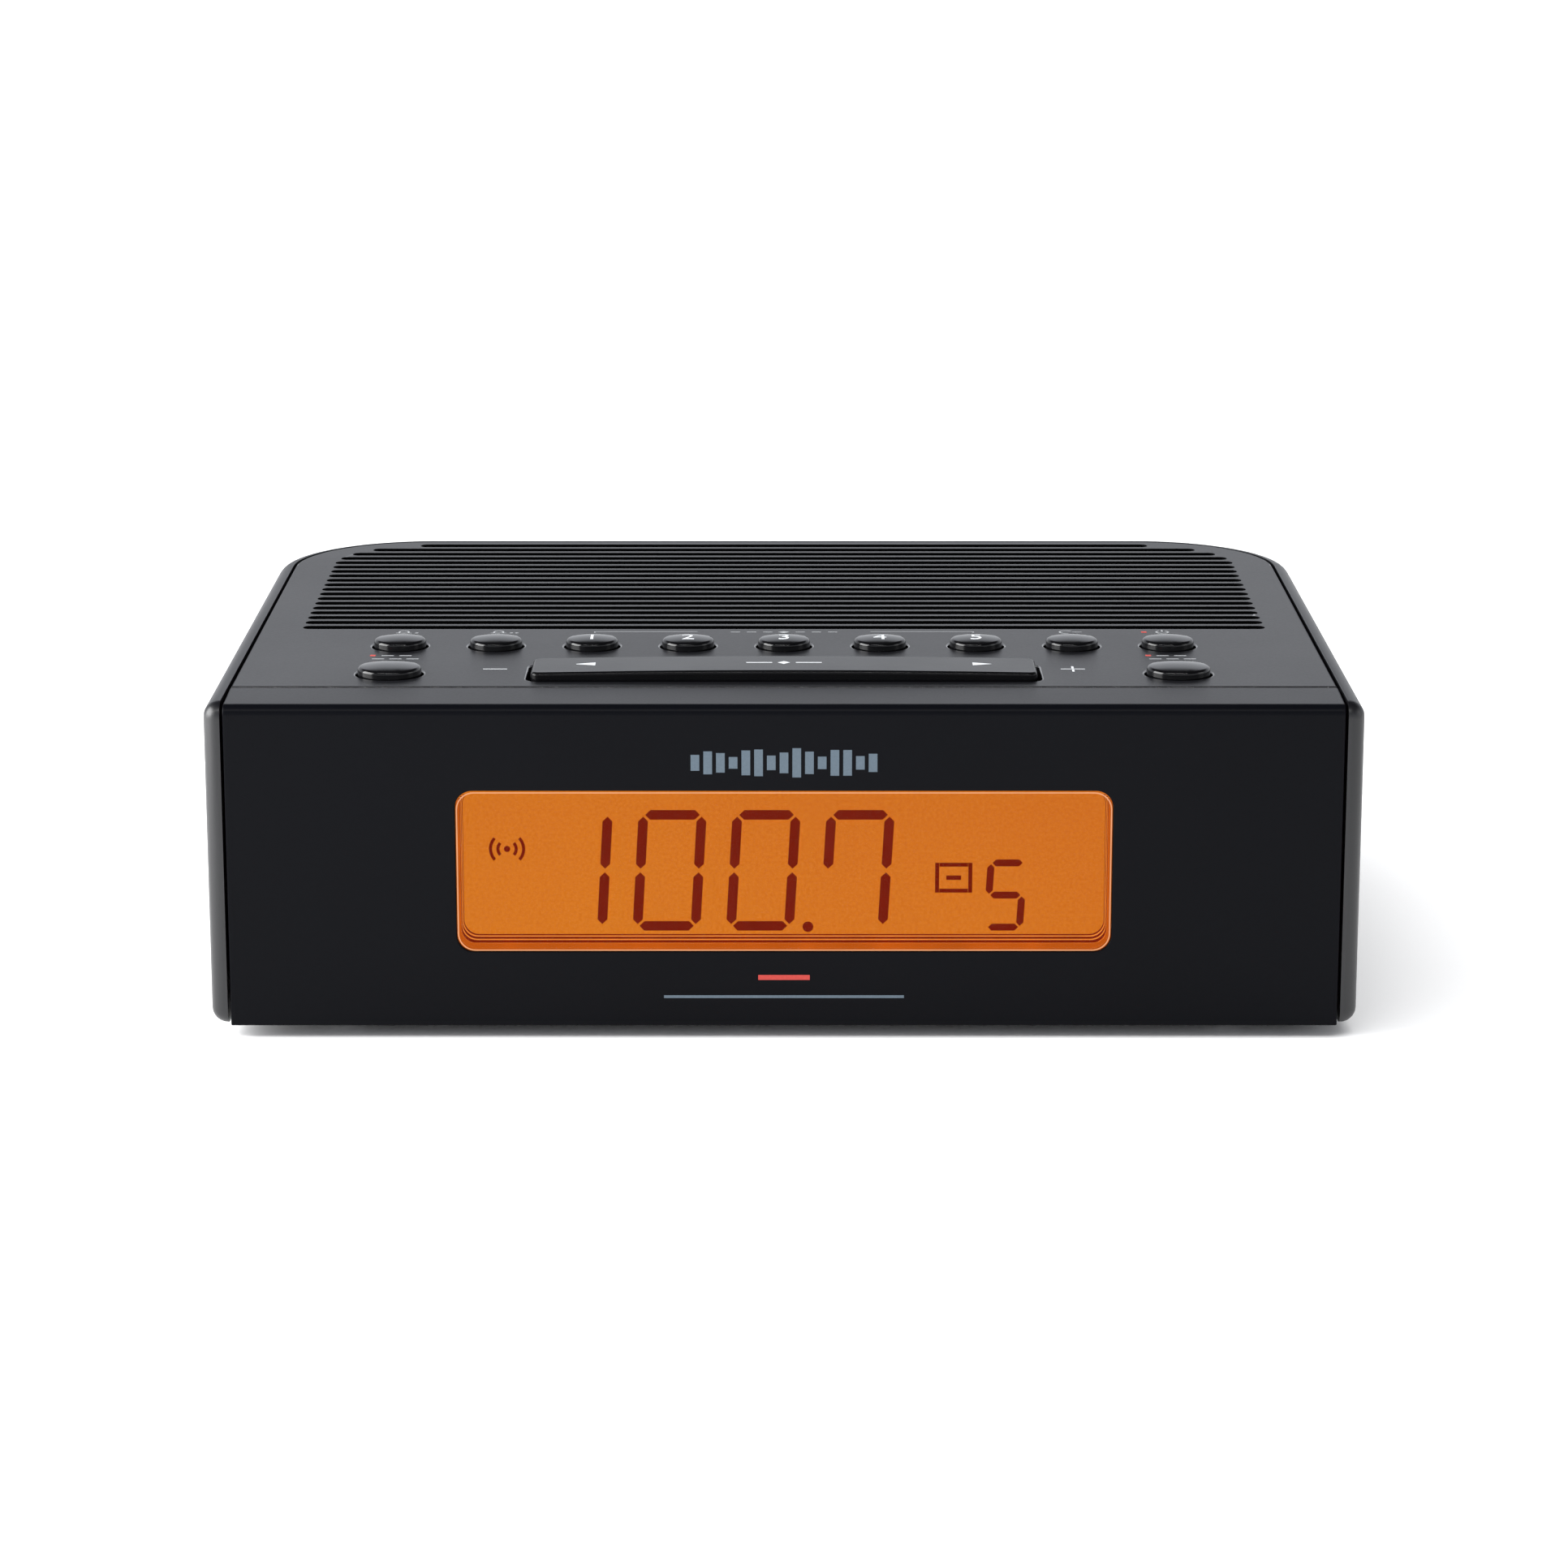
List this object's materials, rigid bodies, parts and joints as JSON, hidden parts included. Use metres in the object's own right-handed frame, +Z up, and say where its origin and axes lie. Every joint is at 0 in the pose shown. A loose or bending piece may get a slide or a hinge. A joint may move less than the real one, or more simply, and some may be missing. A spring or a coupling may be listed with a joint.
{
  "type": "tabletop clock radio",
  "caption": "Low tabletop clock radio with a backlit display, a slotted speaker grille, push keys and a rocking tuning bar on top, and a hinged battery door below.",
  "frame": {"origin": "middle of the outline on the surface that the radio stands on", "axes": "+Z up, +X to the right of someone who faces the display, +Y towards the back"},
  "size_m": [0.201, 0.153, 0.0622],
  "materials": {
    "cabinet_satin": "fine moulded satin texture",
    "front_gloss": "dark smooth plastic, low gloss",
    "base_black": "matt moulded texture",
    "key_gloss": "polished black",
    "foot_rubber": "matt",
    "screw_steel": "zinc plated",
    "lens_clear": "clear polished window",
    "display_amber": "amber transflective glass with dark segments",
    "frame_white": "white moulding",
    "guide_amber": "clear light guide",
    "led_amber": "moulded lamp",
    "strip_rubber": "elastomer",
    "board_green": "solder mask",
    "switch_black": "moulded",
    "grille_felt": "black felt",
    "gasket_foam": "closed-cell foam",
    "basket_steel": "pressed steel",
    "surround_rubber": "soft roll",
    "cone_paper": "pressed paper",
    "coil_copper": "enamelled wire",
    "magnet_ferrite": "sintered",
    "pole_steel": "zinc plated",
    "shield_tin": "tinned sheet",
    "chip_black": "moulded epoxy",
    "capacitor_sleeve": "shrink sleeve",
    "ribbon_grey": "flat cable",
    "holder_nylon": "nylon",
    "rod_ferrite": "sintered",
    "socket_black": "moulded",
    "wheel_black": "ribbed rim",
    "pot_grey": "moulded",
    "contact_nickel": "nickel plated",
    "yoke_acetal": "acetal"
  },
  "bodies": {
    "cabinet": {"top_panel": "cabinet_satin", "front_panel": "front_gloss", "side_back_shell": "cabinet_satin", "base_plate": "base_black", "feet": "foot_rubber", "case_screws": "screw_steel", "panel_screws": "screw_steel", "display_lens": "lens_clear", "display_frame": "frame_white", "display_glass": "display_amber", "light_guide": "guide_amber", "backlight_leds": "led_amber", "contact_strip": "strip_rubber", "display_board": "board_green", "display_screws": "screw_steel", "key_board": "board_green", "key_board_screws": "screw_steel", "key_switches": "switch_black", "grille_cloth": "grille_felt", "speaker_gasket": "gasket_foam", "speaker_basket": "basket_steel", "speaker_surround": "surround_rubber", "speaker_cone": "cone_paper", "speaker_dust_cap": "cone_paper", "speaker_coil": "coil_copper", "speaker_magnet": "magnet_ferrite", "speaker_pole": "pole_steel", "speaker_screws": "screw_steel", "main_board": "board_green", "main_board_screws": "screw_steel", "tuner_module": "shield_tin", "board_chips": "chip_black", "board_capacitors": "capacitor_sleeve", "ribbon_cable": "ribbon_grey", "rod_holders": "holder_nylon", "aerial_rod": "rod_ferrite", "aerial_coil": "coil_copper", "rear_recess": "base_black", "dc_socket": "socket_black", "aux_socket": "socket_black", "aerial_gland": "foot_rubber", "volume_control": "pot_grey", "battery_contacts": "contact_nickel", "battery_springs": "contact_nickel"},
    "key_alarm_1_body": {"key_alarm_1": "key_gloss"},
    "key_alarm_2_body": {"key_alarm_2": "key_gloss"},
    "key_preset_1_body": {"key_preset_1": "key_gloss"},
    "key_preset_2_body": {"key_preset_2": "key_gloss"},
    "key_preset_3_body": {"key_preset_3": "key_gloss"},
    "key_preset_4_body": {"key_preset_4": "key_gloss"},
    "key_preset_5_body": {"key_preset_5": "key_gloss"},
    "key_nap_body": {"key_nap": "key_gloss"},
    "key_power_body": {"key_power": "key_gloss"},
    "key_display_body": {"key_display": "key_gloss"},
    "key_band_body": {"key_band": "key_gloss"},
    "yoke": {"snooze_yoke": "yoke_acetal", "rocker_pin": "screw_steel"},
    "rocker": {"tuning_bar": "key_gloss"},
    "volume": {"volume_wheel": "wheel_black"},
    "door": {"battery_door": "base_black"}
  },
  "joints": [
    {"name": "key_alarm_1_press", "type": "slide", "parent": "cabinet", "child": "key_alarm_1_body", "axis": [0, 0, -1], "range_m": [0, 0.0008], "stiffness_N_per_m": 300, "springref_m": -0.001},
    {"name": "key_alarm_2_press", "type": "slide", "parent": "cabinet", "child": "key_alarm_2_body", "axis": [0, 0, -1], "range_m": [0, 0.0008], "stiffness_N_per_m": 300, "springref_m": -0.001},
    {"name": "key_preset_1_press", "type": "slide", "parent": "cabinet", "child": "key_preset_1_body", "axis": [0, 0, -1], "range_m": [0, 0.0008], "stiffness_N_per_m": 300, "springref_m": -0.001},
    {"name": "key_preset_2_press", "type": "slide", "parent": "cabinet", "child": "key_preset_2_body", "axis": [0, 0, -1], "range_m": [0, 0.0008], "stiffness_N_per_m": 300, "springref_m": -0.001},
    {"name": "key_preset_3_press", "type": "slide", "parent": "cabinet", "child": "key_preset_3_body", "axis": [0, 0, -1], "range_m": [0, 0.0008], "stiffness_N_per_m": 300, "springref_m": -0.001},
    {"name": "key_preset_4_press", "type": "slide", "parent": "cabinet", "child": "key_preset_4_body", "axis": [0, 0, -1], "range_m": [0, 0.0008], "stiffness_N_per_m": 300, "springref_m": -0.001},
    {"name": "key_preset_5_press", "type": "slide", "parent": "cabinet", "child": "key_preset_5_body", "axis": [0, 0, -1], "range_m": [0, 0.0008], "stiffness_N_per_m": 300, "springref_m": -0.001},
    {"name": "key_nap_press", "type": "slide", "parent": "cabinet", "child": "key_nap_body", "axis": [0, 0, -1], "range_m": [0, 0.0008], "stiffness_N_per_m": 300, "springref_m": -0.001},
    {"name": "key_power_press", "type": "slide", "parent": "cabinet", "child": "key_power_body", "axis": [0, 0, -1], "range_m": [0, 0.0008], "stiffness_N_per_m": 300, "springref_m": -0.001},
    {"name": "key_display_press", "type": "slide", "parent": "cabinet", "child": "key_display_body", "axis": [0, 0, -1], "range_m": [0, 0.0008], "stiffness_N_per_m": 300, "springref_m": -0.001},
    {"name": "key_band_press", "type": "slide", "parent": "cabinet", "child": "key_band_body", "axis": [0, 0, -1], "range_m": [0, 0.0008], "stiffness_N_per_m": 300, "springref_m": -0.001},
    {"name": "snooze_press", "type": "slide", "parent": "cabinet", "child": "yoke", "axis": [0, 0, -1], "range_m": [0, 0.0008], "stiffness_N_per_m": 500, "springref_m": -0.001},
    {"name": "tuning_rock", "type": "hinge", "parent": "yoke", "child": "rocker", "pos_m": [0, -0.0518, 0.0549], "axis": [0, 1, 0], "range_deg": [-1, 1], "stiffness_Nm_per_rad": 1},
    {"name": "volume_turn", "type": "hinge", "parent": "cabinet", "child": "volume", "pos_m": [0.053, 0.066, 0.024], "axis": [0, 0, 1], "range_deg": [-150, 150]},
    {"name": "battery_door_hinge", "type": "hinge", "parent": "cabinet", "child": "door", "pos_m": [-0.0415, 0.035, 0.00365], "axis": [-1, 0, 0], "range_deg": [0, 95]}
  ]
}
